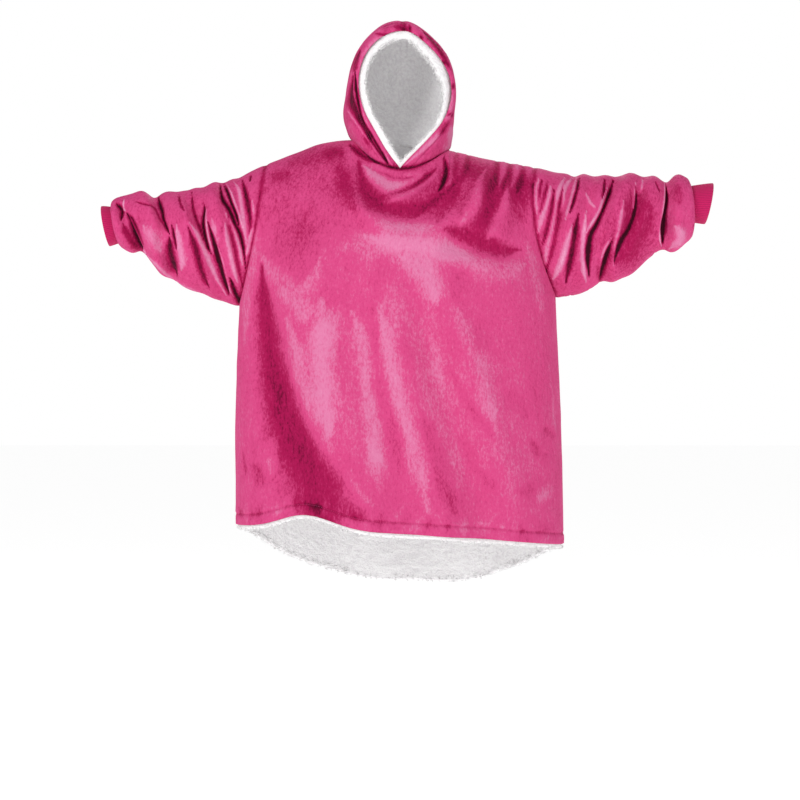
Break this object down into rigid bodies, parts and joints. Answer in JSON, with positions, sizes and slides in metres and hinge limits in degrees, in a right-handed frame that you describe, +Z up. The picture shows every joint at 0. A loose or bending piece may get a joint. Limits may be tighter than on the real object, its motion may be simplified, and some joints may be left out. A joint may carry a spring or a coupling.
{
  "type": "wearable blanket hoodie",
  "caption": "Oversized hooded pullover blanket in plush cloth lined with curly pile, in its open worn form with hood up, arms out, ribbed cuffs and a longer back hem.",
  "frame": {"origin": "between the shoulders at the base of the neck, where the garment hangs from its wearer", "axes": "+Z up, the front faces -Y, the garment's own left sleeve points along +X"},
  "size_m": [1.4094, 0.4635, 1.3066],
  "materials": {
    "plush": "short brushed plush with a silky, crushed nap",
    "sherpa": "curly matt pile",
    "rib_knit": "matt ribbed knit"
  },
  "bodies": {
    "root": {"front_panel": "plush", "back_panel": "plush", "front_lining": "sherpa", "back_lining": "sherpa", "sleeve_left": "plush", "sleeve_right": "plush", "cuff_left": "rib_knit", "cuff_right": "rib_knit", "hood_left": "plush", "hood_right": "plush", "hood_lining_left": "sherpa", "hood_lining_right": "sherpa"}
  },
  "joints": []
}
